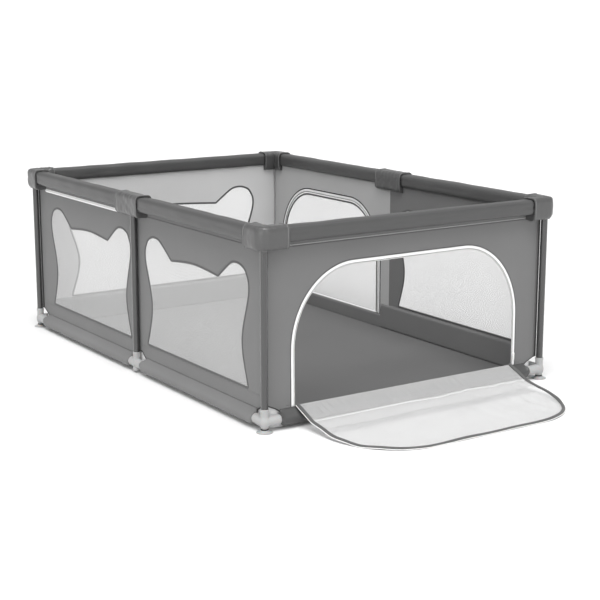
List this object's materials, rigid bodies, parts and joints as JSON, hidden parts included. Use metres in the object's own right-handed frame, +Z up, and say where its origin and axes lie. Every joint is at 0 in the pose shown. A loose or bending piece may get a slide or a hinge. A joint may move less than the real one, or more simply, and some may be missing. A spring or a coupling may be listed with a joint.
{
  "type": "playpen",
  "caption": "Rectangular playpen: steel posts in plastic feet, padded top rail, fabric walls with mesh windows, floor mat, an open zip mesh door and a closed one.",
  "frame": {"origin": "on the ground, in the middle of the floor mat's underside", "axes": "+Z up, +Y along the long side away from the open door (the short front side with the open door faces -Y), +X to the right seen from the front"},
  "size_m": [1.268, 2.2584, 0.68],
  "materials": {
    "steel_tube": "smooth mid-grey powder coat with a soft gloss",
    "foot_plastic": "light grey moulded plastic, fine texture",
    "hidden_plastic": "dark grey moulded plastic, hidden in the rail caps",
    "cup_rubber": "soft light grey suction cup",
    "padded_rail": "dense grey woven cover over foam, slight sheen",
    "wall_fabric": "mid-grey plain woven polyester",
    "mat_fabric": "grey woven fabric over thin padding",
    "white_mesh": "fine white open mesh with a dark grey binding",
    "zip_plastic": "white moulded zip slider and pull"
  },
  "bodies": {
    "frame": {"bottom_tube_back": "steel_tube", "bottom_tube_front": "steel_tube", "bottom_tube_left_back": "steel_tube", "bottom_tube_left_front": "steel_tube", "bottom_tube_right_back": "steel_tube", "bottom_tube_right_front": "steel_tube", "floor_mat": "mat_fabric", "foot_back_left": "foot_plastic", "foot_back_right": "foot_plastic", "foot_front_left": "foot_plastic", "foot_front_right": "foot_plastic", "foot_middle_left": "foot_plastic", "foot_middle_right": "foot_plastic", "mesh_window_back": "white_mesh", "mesh_window_left_back": "white_mesh", "mesh_window_left_front": "white_mesh", "mesh_window_right": "white_mesh", "post_back_left": "steel_tube", "post_back_right": "steel_tube", "post_front_left": "steel_tube", "post_front_right": "steel_tube", "post_middle_left": "steel_tube", "post_middle_right": "steel_tube", "rail_cap_back_left": "padded_rail", "rail_cap_back_right": "padded_rail", "rail_cap_front_left": "padded_rail", "rail_cap_front_right": "padded_rail", "rail_cap_middle_left": "padded_rail", "rail_cap_middle_right": "padded_rail", "rail_pad_back": "padded_rail", "rail_pad_front": "padded_rail", "rail_pad_left_back": "padded_rail", "rail_pad_left_front": "padded_rail", "rail_pad_right_back": "padded_rail", "rail_pad_right_front": "padded_rail", "suction_cup_back_left": "cup_rubber", "suction_cup_back_right": "cup_rubber", "suction_cup_front_left": "cup_rubber", "suction_cup_front_right": "cup_rubber", "top_connector_back_left": "hidden_plastic", "top_connector_back_right": "hidden_plastic", "top_connector_front_left": "hidden_plastic", "top_connector_front_right": "hidden_plastic", "top_connector_middle_left": "hidden_plastic", "top_connector_middle_right": "hidden_plastic", "top_tube_back": "steel_tube", "top_tube_front": "steel_tube", "top_tube_left_back": "steel_tube", "top_tube_left_front": "steel_tube", "top_tube_right_back": "steel_tube", "top_tube_right_front": "steel_tube", "wall_back": "wall_fabric", "wall_front": "wall_fabric", "wall_left": "wall_fabric", "wall_right": "wall_fabric"},
    "front_apron": {"front_door_apron": "white_mesh"},
    "front_flap": {"front_door_flap": "white_mesh"},
    "side_flap": {"side_door_flap": "white_mesh"},
    "front_slider": {"front_zip_slider": "zip_plastic"},
    "side_slider": {"side_zip_slider": "zip_plastic"}
  },
  "joints": [
    {"name": "front_sill_hinge", "type": "hinge", "parent": "frame", "child": "front_apron", "pos_m": [0, -0.8855, 0.068], "axis": [-1, 0, 0], "range_deg": [0, 112]},
    {"name": "front_crease_hinge", "type": "hinge", "parent": "front_apron", "child": "front_flap", "pos_m": [0, -0.97636, 0.03129], "axis": [1, 0, 0], "range_deg": [-0.5, 17.69]},
    {"name": "side_sill_hinge", "type": "hinge", "parent": "frame", "child": "side_flap", "pos_m": [0.5855, 0.41, 0.068], "axis": [0, 1, 0], "range_deg": [0, 98.14]},
    {"name": "front_zip_slide", "type": "slide", "parent": "frame", "child": "front_slider", "axis": [0, 0, 1], "range_m": [0, 0.145]},
    {"name": "side_zip_slide", "type": "slide", "parent": "frame", "child": "side_slider", "axis": [0, 0, 1], "range_m": [0, 0.145]}
  ],
  "couplings": [
    {"joint": "front_crease_hinge", "follows": "front_sill_hinge", "ratio": 0.15347}
  ]
}
